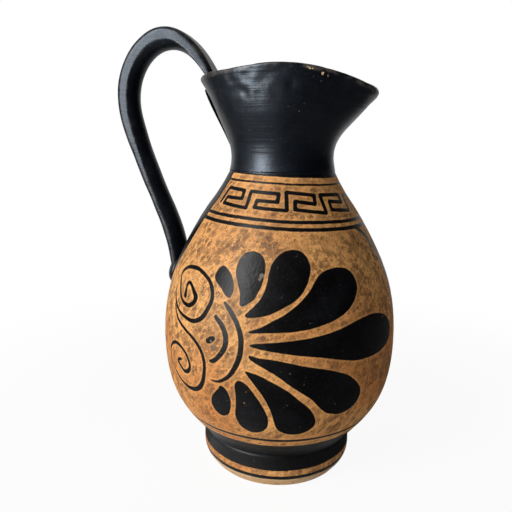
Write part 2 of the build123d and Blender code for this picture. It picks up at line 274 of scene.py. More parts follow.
# Rubbed marks on edges: part wear, part painted highlight.
RUBBED_AND_HIGHLIGHT = (160, 4, 0.55, 0.40, 0.62, 0.0, 1.0)
FOOT_DUST = (300, 5, 0.65, 0.34, 0.52, 0.2, 0.9)

# Clay flecks: how much longer they are along their lean, and the lean in degrees.
FLECK_LENGTH = 1.6
FLECK_LEAN = 40.0

# Clay spots: cells per metre, range of cell values and of spot sizes, the share that shows, and soft edge.
SPOT_SCALE = 400
SPOT_SIZES = (0.35, 0.75, 0.0, 0.55)
SPOT_SHARE = 0.85
SPOT_SOFT = 0.04

# Changes of the clay: heights over which it gets lighter and more flecked, and distances to the paint over
# which it gets lighter, in millimetres, with the shares at both ends.
CLAY_RISE = (60.0, 130.0, 0.0, 0.6)
FLECK_RISE = (40.0, 120.0, 0.75, 1.0)
HALO = (1.6, 0.2, 0.0, 0.3)

# How far an edge stands out, in millimetres, where its lightening, part wear and part painted highlight,
# begins and is full.
EDGE_RISE = (0.02, 0.16)

# Swings of a value about itself: lumps per metre, detail, and the size of the swing.
LINE_WANDER = (45, 2, 0.7)
FOOT_WANDER = (60, 2, 0.7)
BRUSH_RAGGED = (420, 3, 0.45)
FOOT_RAGGED = (420, 3, 0.35)
SCUFF_RAGGED = (500, 3, 2.6)
CHIP_RAGGED = (700, 3, 1.5)
SPOT_RAGGED = (900, 3, 0.5)
BODY_ROUGHNESS_SWING = (150, 3, 0.16)
SLIP_ROUGHNESS_SWING = (140, 3, 0.16)

# Soft edges, half of their width in millimetres.
BRUSH_SOFT = 0.16
FOOT_SOFT = 0.15
SCUFF_SOFT = 0.2
CHIP_SOFT = 0.15

# Roughness of bare clay and of slip.
CLAY_ROUGHNESS, SLIP_ROUGHNESS = 0.62, 0.38
FOOT_CLAY_ROUGHNESS, FOOT_SLIP_ROUGHNESS = 0.72, 0.44

# Gloss of the surfaces, and the share by which their edges are lightened: part wear, part painted highlight.
CLAY_GLOSS, PAINT_GLOSS, FOOT_GLOSS = 0.11, 0.07, 0.14
NECK_GLOSS, HANDLE_GLOSS, LUTING_GLOSS = 0.24, 0.16, 0.25
NECK_WEAR_AND_HIGHLIGHT, HANDLE_WEAR_AND_HIGHLIGHT, LUTING_WEAR_AND_HIGHLIGHT = 0.7, 0.35, 0.0

# Relief of the surfaces, in layers: lumps per metre, detail, roughness, length along each axis, and share.
# Layers that are long round the axis are wheel marks. A bump is a strength, and a depth in metres.
EVEN = (1.0, 1.0, 1.0)
BODY_RELIEF = ((700, 3, 0.55, EVEN, 1.0), (120, 4, 0.55, EVEN, 1.6), (90, 2, 0.5, (4.0, 4.0, 0.17), 1.0))
SLIP_RELIEF = ((650, 3, 0.55, EVEN, 0.35), (160, 3, 0.5, (8.0, 8.0, 0.2), 1.4))
FOOT_RELIEF = ((700, 3, 0.55, EVEN, 1.0), (120, 2, 0.5, (7.0, 7.0, 0.17), 1.0))
PAINT_RELIEF = 0.5
BODY_BUMP = (0.22, 0.0006)
SLIP_BUMP = (0.25, 0.0005)
FOOT_BUMP = (0.22, 0.0005)

# Floor: size in metres, white, the glow's share near the jug, and the metres over which it becomes full.
FLOOR_SIZE = 6.0
FLOOR_WHITE = 0.86
FLOOR_GLOW_NEAR = 0.93
FLOOR_NEAR, FLOOR_FAR = 0.12, 0.42

# Strength of the even light from the surroundings.
WORLD_FILL = 0.34

# Lamps: name, azimuth and elevation in degrees, distance, width and height in metres, power in watts, and
# whether it lights the jug and is mirrored in it.
LAMPS = (
    ("key", -128, 20, 1.1, 0.3, 1.3, 15.0, True, False),
    ("sheen", -125, 20, 1.1, 0.4, 1.3, 60.0, False, True),
    ("fill", -45, 32, 1.6, 1.3, 1.3, 3.8, True, False),
)

# Dark sheets round the jug: turns and rises in degrees, radii and height in metres, steps and finish.
SCREEN_RADIUS = 1.9
SCREEN_TURNS = (-150.0, 58.0)
SCREEN_RISES = (1.0, 20.0, 40.0, 57.0, 72.0)
CARD_TURNS = (-88.0, 58.0)
SIDE_TURNS = (150.0, 200.0)
CARD_RADII = (0.046, 0.5, 1.9)
CARD_HEIGHT = 0.001
SHEET_STEPS = 24
SCREEN_GREY = (0.02, 0.02, 0.02, 1)
CARD_GREY = (0.35, 0.35, 0.35, 1)
SHEET_ROUGHNESS, SHEET_GLOSS = 0.9, 0.1

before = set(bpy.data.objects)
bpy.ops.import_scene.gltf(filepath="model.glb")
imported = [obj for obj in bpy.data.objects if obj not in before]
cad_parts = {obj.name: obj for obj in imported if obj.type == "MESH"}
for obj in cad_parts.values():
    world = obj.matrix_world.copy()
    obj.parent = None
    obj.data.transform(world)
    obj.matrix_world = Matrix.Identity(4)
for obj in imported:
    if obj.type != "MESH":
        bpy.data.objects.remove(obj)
cad_box = [list(corner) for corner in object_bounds()]


def add_object(name, data):
    """New object in the scene."""
    made = bpy.data.objects.new(name, data)
    bpy.context.scene.collection.objects.link(made)
    return made


def section(node):
    """Half section of a turned node as (radius, height) points in order, in millimetres."""
    graph = bmesh.new()
    graph.from_mesh(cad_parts[node].data)
    bmesh.ops.remove_doubles(graph, verts=graph.verts, dist=WELD)
    everything = graph.verts[:] + graph.edges[:] + graph.faces[:]
    bmesh.ops.bisect_plane(graph, geom=everything, plane_co=(0, 0, 0), plane_no=(1, 0, 0), clear_inner=True)
    everything = graph.verts[:] + graph.edges[:] + graph.faces[:]
    cut = bmesh.ops.bisect_plane(graph, geom=everything, plane_co=(0, 0, 0), plane_no=(0, 1, 0))
    links = {}
    for edge in cut["geom_cut"]:
        if isinstance(edge, bmesh.types.BMEdge):
            first, second = edge.verts
            links.setdefault(first, []).append(second)
            links.setdefault(second, []).append(first)
    ends = [vert for vert in links if len(links[vert]) == 1]
    current = ends[0] if ends else next(iter(links))
    chain = [current]
    seen = {current}
    while True:
        following = [vert for vert in links[current] if vert not in seen]
        if not following:
            break
        current = following[0]
        seen.add(current)
        chain.append(current)
    points = np.array([(vert.co.x / MM, vert.co.z / MM) for vert in chain])
    closed = not ends
    graph.free()
    return points, closed


def spans_of(points, closed):
    """Stretches of a section between its corners."""
    if closed:
        start = int(np.argmax(points[:, 0] - points[:, 1]))
        points = np.roll(points, -start, axis=0)
        points = np.vstack([points, points[:1]])
    step = np.diff(points, axis=0)
    keep = np.concatenate([[True], np.hypot(step[:, 0], step[:, 1]) > SAME_PLACE])
    points = points[keep]
    step = np.diff(points, axis=0)
    heading = np.unwrap(np.arctan2(step[:, 1], step[:, 0]))
    turn = np.abs(np.degrees(np.diff(heading)))
    corners = [0] + [i + 1 for i in np.nonzero(turn > CORNER_ANGLE)[0]] + [len(points) - 1]
    return [points[a:b + 1] for a, b in zip(corners[:-1], corners[1:])]


def resample(span, count):
    """The same stretch with evenly spaced points."""
    length = np.concatenate([[0], np.cumsum(np.hypot(*np.diff(span, axis=0).T))])
    at = np.linspace(0, length[-1], count + 1)
    return np.stack([np.interp(at, length, span[:, 0]), np.interp(at, length, span[:, 1])], axis=1)


def span_length(span):
    """Length of a stretch of a section."""
    return float(np.hypot(*np.diff(span, axis=0).T).sum())


def step_counts(spans, step):
    """How many rows each stretch gets when they are about a step apart."""
    return [max(1, round(span_length(span) / step)) for span in spans]


def even_rows(spans, closed, counts):
    """Rows of a whole section, evenly spaced within each stretch."""
    rows = []
    for index, (span, count) in enumerate(zip(spans, counts)):
        even = resample(span, count)
        rows.extend(even[:-1] if (index < len(spans) - 1 or closed) else even)
    return rows


def turned_mesh(name, rows, closed, segments):
    """Mesh turned about the upright axis from (radius, height) rows."""
    rows = np.asarray(rows)
    angle = np.arange(segments) * 2 * math.pi / segments
    verts = []
    starts = []
    for radius, height in rows:
        starts.append(len(verts))
        if radius < ON_AXIS:
            verts.append((0.0, 0.0, height * MM))
        else:
            across = radius * MM * np.cos(angle)
            deep = radius * MM * np.sin(angle)
            verts.extend(zip(across, deep, [height * MM] * segments))
    faces = []
    pairs = list(zip(range(len(rows) - 1), range(1, len(rows))))
    if closed:
        pairs.append((len(rows) - 1, 0))
    for low, high in pairs:
        for i in range(segments):
            j = (i + 1) % segments
            if rows[low][0] < ON_AXIS:
                faces.append((starts[low], starts[high] + j, starts[high] + i))
            elif rows[high][0] < ON_AXIS:
                faces.append((starts[low] + i, starts[low] + j, starts[high]))
            else:
                faces.append((starts[low] + i, starts[low] + j, starts[high] + j, starts[high] + i))
    mesh = bpy.data.meshes.new(name)
    mesh.from_pydata(verts, [], faces)
    return finish_mesh(mesh)


def finish_mesh(mesh):
    """Outward normals, smooth shading and sharp creases for a new mesh."""
    graph = bmesh.new()
    graph.from_mesh(mesh)
    bmesh.ops.recalc_face_normals(graph, faces=graph.faces)
    graph.to_mesh(mesh)
    graph.free()
    mesh.shade_smooth()
    mesh.set_sharp_from_angle(angle=math.radians(SHARP_ANGLE))
    return mesh


def coordinates(mesh):
    """Vertex places of a mesh in millimetres."""
    flat = np.zeros(len(mesh.vertices) * 3, np.float32)
    mesh.vertices.foreach_get("co", flat)
    return flat.reshape(-1, 3).astype(float) / MM


def normals_of(mesh):
    """Vertex normals of a mesh."""
    flat = np.zeros(len(mesh.vertices) * 3, np.float32)
    mesh.vertex_normals.foreach_get("vector", flat)
    return flat.reshape(-1, 3).astype(float)


def set_coordinates(mesh, places):
    """Moves a mesh's vertices to places in millimetres."""
    mesh.vertices.foreach_set("co", (places * MM).astype(np.float32).ravel())
    mesh.update()


def set_attribute(mesh, name, values):
    """Stores a number for each vertex, for the materials to read."""
    attribute = mesh.attributes.new(name, "FLOAT", "POINT")
    attribute.data.foreach_set("value", np.asarray(values, np.float32))


def dents(places, size, stretch=(1.0, 1.0, 1.0)):
    """Soft noise from 0 to 1 at places in millimetres, with lumps of a size."""
    scaled = places / size * np.array(stretch)
    return np.clip([DENT_MIDDLE + DENT_SWING * noise.noise(Vector(place)) for place in scaled], 0.0, 1.0)


def ring_marks(places, size):
    """Marks of the turning wheel from 0 to 1: rings that waver a little round the piece."""
    return dents(places, size, RING_STRETCH)


def press_in(mesh, depth):
    """Presses each vertex in by its own depth in millimetres, never out."""
    set_coordinates(mesh, coordinates(mesh) - normals_of(mesh) * np.maximum(depth, 0.0)[:, None])


def closeness(places, centre, size):
    """1 at a centre, falling softly to 0 at a size away from it."""
    reach = np.clip(1 - np.linalg.norm(places - centre, axis=1) / size, 0, 1)
    return reach * reach * (3 - 2 * reach)


def swell(mesh, centre, size, height, heading):
    """Swells a mesh by a height where it faces a heading, within a size of a place, in millimetres."""
    places = coordinates(mesh)
    normals = normals_of(mesh)
    share = closeness(places, centre, size) * np.maximum(normals @ np.array(heading), 0)
    set_coordinates(mesh, places + normals * (height * share)[:, None])


def fill_out(mesh, centre, half, heading):
    """Fills a mesh out to an egg-shaped bead where it faces a heading, in millimetres."""
    places = coordinates(mesh)
    offset = (places - centre) / half
    distance = np.linalg.norm(offset, axis=1)
    fuller = (distance**BEAD_POWER + 1) ** (1 / BEAD_POWER)
    share = np.clip(BEAD_FACING * normals_of(mesh) @ np.array(heading), 0, 1)
    set_coordinates(mesh, places + (places - centre) * ((fuller / distance - 1) * share)[:, None])


def between(values, low, high, soft):
    """1 between two limits and 0 outside, with soft ends."""
    return np.clip((values - low) / soft, 0, 1) * np.clip((high - values) / soft, 0, 1)


def dense_copy(node, name, voxel):
    """Even, dense mesh of a node, laid back on the node's own surface."""
    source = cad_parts[node].data
    graph = bmesh.new()
    graph.from_mesh(source)
    bmesh.ops.remove_doubles(graph, verts=graph.verts, dist=WELD)
    welded = bpy.data.meshes.new(name)
    graph.to_mesh(welded)
    tree = BVHTree.FromBMesh(graph)
    graph.free()
    holder = add_object(name + "_source", welded)
    remesh = holder.modifiers.new("even", "REMESH")
    remesh.mode = "VOXEL"
    remesh.voxel_size = voxel * MM
    remesh.use_smooth_shade = True
    evaluated = holder.evaluated_get(bpy.context.evaluated_depsgraph_get())
    mesh = bpy.data.meshes.new_from_object(evaluated)
    mesh.name = name
    bpy.data.objects.remove(holder)
    places = coordinates(mesh)
    laid = np.array([tree.find_nearest(Vector(place * MM))[0] for place in places]) / MM
    set_coordinates(mesh, laid)
    return finish_mesh(mesh)


def edge_share(mesh, rounds):
    """How far each vertex stands out from its neighbours: positive on edges, negative in hollows."""
    places = coordinates(mesh)
    normals = normals_of(mesh)
    pairs = np.zeros(len(mesh.edges) * 2, np.int32)
    mesh.edges.foreach_get("vertices", pairs)
    first, second = pairs.reshape(-1, 2).T
    count = np.bincount(first, minlength=len(places)) + np.bincount(second, minlength=len(places))

    def spread(values):
        total = np.zeros_like(values)
        np.add.at(total, first, values[second])
        np.add.at(total, second, values[first])
        return total / np.maximum(count, 1).reshape((-1,) + (1,) * (values.ndim - 1))

    smooth = places
    for _ in range(rounds):
        smooth = spread(smooth)
    return ((places - smooth) * normals).sum(axis=1)


def add_piece(name, mesh, node, material):
    """Puts a finished piece in the scene in the place of its node."""
    piece = add_object(name, mesh)
    mesh.materials.clear()
    mesh.materials.append(material)
    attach(piece, "root")
    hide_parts(node)
    return piece


def smooth_line(stations, step, closed=False):
    """Smooth line through its stations, which may be a loop; every column of the stations is smoothed."""
    points = np.array(stations, float)
    if closed:
        padded = np.vstack([points[-1], points, points[:2]])
    else:
        padded = np.vstack([2 * points[0] - points[1], points, 2 * points[-1] - points[-2]])
    line = []
    for i in range(1, len(padded) - 2):
        before, start, end, after = padded[i - 1:i + 3]
        count = max(2, int(np.hypot(*(end - start)[:2]) / step))
        for t in np.linspace(0, 1, count, endpoint=False):
            square = 2 * before - 5 * start + 4 * end - after
            cube = 3 * start - before - 3 * end + after
            line.append(0.5 * (2 * start + (end - before) * t + square * t**2 + cube * t**3))
    line.append(padded[-2])
    return np.array(line)


def near_line(chart, line, reach):
    """Which places of the chart lie near a line's box."""
    low = line[:, :2].min(axis=0) - reach
    high = line[:, :2].max(axis=0) + reach
    return np.nonzero(((chart > low) & (chart < high)).all(axis=1))[0]


def gap_to(places, start, end):
    """Distance of places to a straight stretch, and the share of the stretch where they are nearest."""
    run = (end - start)[:2]
    share = np.clip(((places - start[:2]) @ run) / max(run @ run, NO_LENGTH_SQUARED), 0, 1)
    return np.hypot(*(places - start[:2] - share[:, None] * run).T), share


def paint_line(field, chart, line):
    """Lowers the signed distance field where a brush line of (round, along, half width) passes."""
    near = near_line(chart, line, line[:, 2].max() + PAINT_REACH)
    best = field[near]
    for start, end in zip(line[:-1], line[1:]):
        gap, share = gap_to(chart[near], start, end)
        best = np.minimum(best, gap - start[2] - share * (end[2] - start[2]))
    field[near] = best


def paint_outline(field, chart, loop):
    """Lowers the signed distance field inside a closed outline."""
    near = near_line(chart, loop, PAINT_REACH)
    places = chart[near]
    best = np.full(len(near), PAINT_REACH)
    inside = np.zeros(len(near), bool)
    for start, end in zip(loop[:-1], loop[1:]):
        best = np.minimum(best, gap_to(places, start, end)[0])
        crosses = (start[1] > places[:, 1]) != (end[1] > places[:, 1])
        rise = end[1] - start[1] if end[1] != start[1] else 1.0
        inside ^= crosses & (places[:, 0] < start[0] + (places[:, 1] - start[1]) / rise * (end[0] - start[0]))
    field[near] = np.minimum(field[near], np.where(inside, -best, best))


def body_paint(places, side):
    """Signed distances in millimetres to the black paint and to its scuffs, on a side whose rows go up."""
    radius = np.hypot(places[:, 0], places[:, 1])
    turn = np.arctan2(-np.abs(places[:, 1]), places[:, 0])
    height = places[:, 2]
    along = np.concatenate([[0], np.cumsum(np.hypot(*np.diff(side, axis=0).T))])
    along -= np.interp(CHART_HEIGHT, side[:, 1], along)
    chart = np.stack([(turn + math.pi / 2) * radius, np.interp(height, side[:, 1], along)], axis=1)
    field = np.full(len(places), PAINT_REACH)
    for outline in PETALS:
        paint_outline(field, chart, smooth_line(outline, STROKE_STEP, closed=True))
    for stations in HEART + SCROLLS:
        paint_line(field, chart, smooth_line(stations, STROKE_STEP))
    paint_line(field, chart, np.array([(x, y, KEY_HALF_WIDTH) for x, y in KEY_PATTERN]))
    from_handle = math.pi - np.abs(turn)
    heights, angles = np.array(HANDLE_GROUND).T
    ground = (from_handle - np.radians(np.interp(height, heights, angles))) * radius
    ground = np.where(height < heights[0], np.hypot(np.maximum(ground, 0), heights[0] - height), ground)
    heights, angles = np.array(DIVIDER).T
    parting = np.abs(np.abs(turn) - np.radians(np.interp(height, heights, angles))) * radius - DIVIDER_HALF
    parting = np.where(height > heights[-1], PAINT_REACH, parting)
    paint = np.clip(np.minimum(np.minimum(field, ground), parting), -PAINT_REACH, PAINT_REACH)
    scuff = np.full(len(places), PAINT_REACH)
    for around, up, size in SCUFFS:
        scuff = np.minimum(scuff, np.hypot(chart[:, 0] - around, chart[:, 1] - up) - size)
    return paint, scuff


class Shading:
    """A material's nodes, with short calls for the ones that are used here."""

    def __init__(self, name):
        self.material = bpy.data.materials.new(name)
        self.material.use_nodes = True
        self.tree = self.material.node_tree
        self.tree.nodes.clear()
        self.output = self.tree.nodes.new("ShaderNodeOutputMaterial")
        self.place = self.tree.nodes.new("ShaderNodeTexCoord").outputs["Object"]

    def feed(self, socket, value):
        """Links another node to a socket, or sets a plain value on it."""
        if isinstance(value, bpy.types.NodeSocket):
            self.tree.links.new(value, socket)
        else:
            socket.default_value = value

    def math(self, operation, first, second=0.0, clamp=False):
        """One step of arithmetic."""
        made = self.tree.nodes.new("ShaderNodeMath")
        made.operation = operation
        made.use_clamp = clamp
        self.feed(made.inputs[0], first)
        self.feed(made.inputs[1], second)
        return made.outputs[0]

    def fade(self, value, start, end, low=0.0, high=1.0):
        """Soft change from low to high while a value goes from start to end."""
        made = self.tree.nodes.new("ShaderNodeMapRange")
        made.interpolation_type = "SMOOTHSTEP"
        for index, entry in enumerate((value, start, end, low, high)):
            self.feed(made.inputs[index], entry)
        return made.outputs[0]

    def inside(self, distance, soft):
        """1 where a signed distance is below zero and 0 where it is above, over a soft edge."""
        return self.fade(distance, soft, -soft)

    def line(self, level, centre, half):
        """Signed distance to a line of half a thickness at a level."""
        return self.math("SUBTRACT", self.math("ABSOLUTE", self.math("SUBTRACT", level, centre)), half)

    def cover(self, ground, colour, *shares):
        """Lays a colour over a ground, as much as the product of the shares."""
        total = shares[0]
        for share in shares[1:]:
            total = self.math("MULTIPLY", total, share)
        made = self.tree.nodes.new("ShaderNodeMix")
        made.data_type = "RGBA"
        self.feed(made.inputs["Factor"], total)
        self.feed(made.inputs[MIX_FIRST], ground)
        self.feed(made.inputs[MIX_SECOND], colour)
        return made.outputs[MIX_RESULT]

    def stretched(self, length, lean=0.0):
        """Places for noise with lumps of a length along each axis, the upright one leant to the spout."""
        made = self.tree.nodes.new("ShaderNodeMapping")
        made.vector_type = "TEXTURE"
        self.feed(made.inputs["Vector"], self.place)
        made.inputs["Scale"].default_value = length
        made.inputs["Rotation"].default_value[1] = math.radians(lean)
        return made.outputs[0]

    def cloud(self, scale, detail, rough=0.55, vector=None):
        """Noise with a number of lumps per metre."""
        made = self.tree.nodes.new("ShaderNodeTexNoise")
        self.feed(made.inputs["Vector"], self.place if vector is None else vector)
        made.inputs["Scale"].default_value = scale
        made.inputs["Detail"].default_value = detail
        made.inputs["Roughness"].default_value = rough
        return made.outputs["Fac"]

    def marks(self, look, vector=None):
        """Marks made of noise, by one of the looks listed among the sizes."""
        scale, detail, rough, start, end, low, high = look
        return self.fade(self.cloud(scale, detail, rough, vector), start, end, low, high)

    def waver(self, value, scale, detail, swing):
        """A value that swings about itself by noise."""
        offset = self.math("SUBTRACT", self.cloud(scale, detail), 0.5)
        return self.math("ADD", value, self.math("MULTIPLY", offset, swing))

    def spots(self, vector):
        """Separate ragged spots of uneven sizes."""
        made = self.tree.nodes.new("ShaderNodeTexVoronoi")
        self.feed(made.inputs["Vector"], vector)
        made.inputs["Scale"].default_value = SPOT_SCALE
        size = self.fade(made.outputs["Color"], *SPOT_SIZES)
        ragged = self.waver(made.outputs["Distance"], *SPOT_RAGGED)
        return self.inside(self.math("SUBTRACT", ragged, size), SPOT_SOFT)

    def axes(self):
        """Place along each axis, in millimetres."""
        made = self.tree.nodes.new("ShaderNodeSeparateXYZ")
        self.feed(made.inputs[0], self.place)
        return [self.math("MULTIPLY", made.outputs[i], 1 / MM) for i in range(3)]

    def attribute(self, name):
        """A number stored on the mesh."""
        made = self.tree.nodes.new("ShaderNodeAttribute")
        made.attribute_name = name
        return made.outputs["Fac"]

    def relief(self, layers):
        """Height of a surface, heaped up from layers of noise."""
        total = 0.0
        for scale, detail, rough, length, share in layers:
            layer = self.cloud(scale, detail, rough, self.stretched(length))
            total = self.math("ADD", total, self.math("MULTIPLY", layer, share))
        return total

    def bump(self, height, strength, distance):
        """Normal of a surface with a relief."""
        made = self.tree.nodes.new("ShaderNodeBump")
        made.inputs["Strength"].default_value = strength
        made.inputs["Distance"].default_value = distance
        self.feed(made.inputs["Height"], height)
        return made.outputs[0]

    def surface(self, colour, roughness, gloss, normal=(0, 0, 0), tint=(1, 1, 1, 1)):
        """Finishes the material with its surface."""
        made = self.tree.nodes.new("ShaderNodeBsdfPrincipled")
        self.feed(made.inputs["Base Color"], colour)
        self.feed(made.inputs["Roughness"], roughness)
        self.feed(made.inputs["Normal"], normal)
        self.feed(made.inputs["Specular IOR Level"], gloss)
        self.feed(made.inputs["Specular Tint"], tint)
        self.tree.links.new(made.outputs[0], self.output.inputs["Surface"])
        return self.material


def clay_colour(shade, height):
    """Mottled clay: warm ground, brown flecks that lean towards the spout, dark specks and grain."""
    ground = shade.cover(CLAY_WARM, CLAY_LIGHT, shade.marks(WARMTH))
    ground = shade.cover(ground, CLAY_LIGHT, shade.fade(height, *CLAY_RISE))
    upper = shade.fade(height, *FLECK_RISE)
    leaning = shade.stretched((1.0, 1.0, FLECK_LENGTH), FLECK_LEAN)
    clusters = shade.marks(CLUSTERS)
    ground = shade.cover(ground, CLAY_BROWN, shade.marks(FLECKS, leaning), upper)
    ground = shade.cover(ground, CLAY_BROWN, shade.spots(leaning), clusters, upper, SPOT_SHARE)
    ground = shade.cover(ground, CLAY_BROWN, shade.marks(PATCHES, leaning), clusters, upper)
    ground = shade.cover(ground, CLAY_SPECK, shade.marks(SPECKS, leaning), upper)
    ground = shade.cover(ground, CLAY_PALE, shade.marks(BRIGHT))
    return shade.cover(ground, CLAY_BROWN, shade.marks(GRAIN))


def slip_colour(shade, deep=SLIP_DEEP, thin=SLIP_GREY):
    """Black slip: deep, with thin patches of another shade, fine dust and a few scratched specks."""
    colour = shade.cover(deep, thin, shade.marks(THIN_SLIP))
    colour = shade.cover(colour, SLIP_WORN_AND_HIGHLIGHT, shade.marks(DUST))
    return shade.cover(colour, SLIP_WORN_AND_HIGHLIGHT, shade.marks(SCRATCHES))


def painted_body():
    """Clay with black painting, lines and grounds."""
    shade = Shading("painted_clay")
    across, _, height = shade.axes()
    level = shade.waver(height, *LINE_WANDER)
    leaning = shade.math("ADD", level, shade.math("MULTIPLY", across, LINE_LEAN))
    bands = [shade.line(leaning, *line) for line in UPPER_LINES]
    bands.append(shade.math("SUBTRACT", NECK_BLACK_EDGE, leaning))
    bands.append(shade.line(level, *BELLY_LINE))
    bands.append(shade.math("SUBTRACT", level, BASE_BLACK_TOP))
    paint = shade.attribute("slip")
    for band in bands:
        paint = shade.math("MINIMUM", paint, band)
    covered = shade.inside(shade.waver(paint, *BRUSH_RAGGED), BRUSH_SOFT)
    flaked = shade.math("MULTIPLY", covered, shade.marks(FLAKES))
    covered = shade.math("SUBTRACT", covered, flaked)
    clay = shade.cover(clay_colour(shade, height), CLAY_LIGHT, shade.fade(paint, *HALO))
    colour = shade.cover(clay, slip_colour(shade), covered)
    scuffed = shade.waver(shade.attribute("scuff"), *SCUFF_RAGGED)
    colour = shade.cover(colour, SCUFF_GREY, shade.inside(scuffed, SCUFF_SOFT))
    roughness = shade.fade(covered, 0.0, 1.0, CLAY_ROUGHNESS, SLIP_ROUGHNESS)
    roughness = shade.waver(roughness, *BODY_ROUGHNESS_SWING)
    relief = shade.math("ADD", shade.relief(BODY_RELIEF), shade.math("MULTIPLY", covered, PAINT_RELIEF))
    gloss = shade.fade(covered, 0.0, 1.0, CLAY_GLOSS, PAINT_GLOSS)
    return shade.surface(colour, roughness, gloss, shade.bump(relief, *BODY_BUMP))


def black_slip(name, edge_wear_and_highlight, gloss, chipped=False):
    """Plain black slip with wheel marks, edges lightened as wear and as a painted highlight, and with chips
    where there are any.
    """
    shade = Shading(name)
    colour = slip_colour(shade, SLIP_NIGHT, SLIP_BLUE)
    # Edges lightened with the worn slip colour: part wear, part painted highlight.
    edge = shade.fade(shade.attribute("edge"), *EDGE_RISE)
    colour = shade.cover(colour, SLIP_WORN_AND_HIGHLIGHT, edge, shade.marks(RUBBED_AND_HIGHLIGHT), edge_wear_and_highlight)
    if chipped:
        ragged = shade.waver(shade.attribute("chip"), *CHIP_RAGGED)
        colour = shade.cover(colour, CLAY_PALE, shade.inside(ragged, CHIP_SOFT))
    roughness = shade.waver(SLIP_ROUGHNESS, *SLIP_ROUGHNESS_SWING)
    normal = shade.bump(shade.relief(SLIP_RELIEF), *SLIP_BUMP)
    return shade.surface(colour, roughness, gloss, normal, SLIP_SHEEN)


def painted_foot():
    """Black foot with a clay band, a thin black line and a bare lower edge."""
    shade = Shading("painted_foot")
    _, _, height = shade.axes()
    upper, lower, bare_top = FOOT_BANDS
    level = shade.waver(shade.waver(height, *FOOT_WANDER), *FOOT_RAGGED)
    below_upper = shade.inside(shade.math("SUBTRACT", level, upper), FOOT_SOFT)
    above_lower = shade.inside(shade.math("SUBTRACT", lower, level), FOOT_SOFT)
    band = shade.math("MULTIPLY", below_upper, above_lower)
    bare = shade.inside(shade.math("SUBTRACT", level, bare_top), FOOT_SOFT)
    clay = clay_colour(shade, height)
    dusty = shade.cover(clay, CLAY_PALE, shade.marks(FOOT_DUST))
    colour = shade.cover(slip_colour(shade), clay, band)
    colour = shade.cover(colour, dusty, bare)
    shown = shade.math("ADD", band, bare, clamp=True)
    roughness = shade.fade(shown, 0.0, 1.0, FOOT_SLIP_ROUGHNESS, FOOT_CLAY_ROUGHNESS)
    normal = shade.bump(shade.relief(FOOT_RELIEF), *FOOT_BUMP)
    return shade.surface(colour, roughness, FOOT_GLOSS, normal)


def make_body():
    """Body with its painting."""
    points, closed = section("body")
    spans = spans_of(points, closed)
    outer = max(range(len(spans)), key=lambda i: spans[i][:, 0].max())
    counts = step_counts(spans, BODY_OTHER_STEP)
    counts[outer] = BODY_OUTER_ROWS
    side = resample(spans[outer], BODY_OUTER_ROWS)
    side = side[np.argsort(side[:, 1])]
    mesh = turned_mesh("jug_body", even_rows(spans, closed, counts), closed, BODY_SEGMENTS)
    places = coordinates(mesh)
    radius = np.hypot(places[:, 0], places[:, 1])
    wall = np.interp(places[:, 2], side[:, 1], side[:, 0])
    outside = np.abs(radius - wall) < ON_WALL
    slip = np.full(len(places), PAINT_REACH)
    scuff = np.full(len(places), PAINT_REACH)
    slip[outside], scuff[outside] = body_paint(places[outside], side)
    set_attribute(mesh, "slip", slip)
    set_attribute(mesh, "scuff", scuff)
    depth = BODY_DENT * dents(places, BODY_DENT_SIZE) + BODY_RING * ring_marks(places, BODY_RING_SIZE)
    low, high = side[0, 1], side[-1, 1]
    press_in(mesh, depth * outside * between(places[:, 2], low, high, JOINT_FADE))
    add_piece("jug_body", mesh, "body", painted_body())


def make_turned(name, node, step, segments, material, dent=0.0):
    """A turned piece of one finish."""
    points, closed = section(node)
    spans = spans_of(points, closed)
    rows = even_rows(spans, closed, step_counts(spans, step))
    mesh = turned_mesh(name, rows, closed, segments)
    set_attribute(mesh, "edge", edge_share(mesh, TURNED_EDGE_ROUNDS))
    places = coordinates(mesh)
    low, high = points[:, 1].min(), points[:, 1].max()
    press_in(mesh, dent * dents(places, FOOT_DENT_SIZE) * between(places[:, 2], low, high, JOINT_FADE))
    add_piece(name, mesh, node, material)


def make_dense(name, node, voxel, material, dent=0.0):
    """A hand-shaped piece of one finish."""
    mesh = dense_copy(node, name, voxel)
    set_attribute(mesh, "edge", edge_share(mesh, EDGE_ROUNDS))
    press_in(mesh, dent * dents(coordinates(mesh), HANDLE_DENT_SIZE))
    return add_piece(name, mesh, node, material)


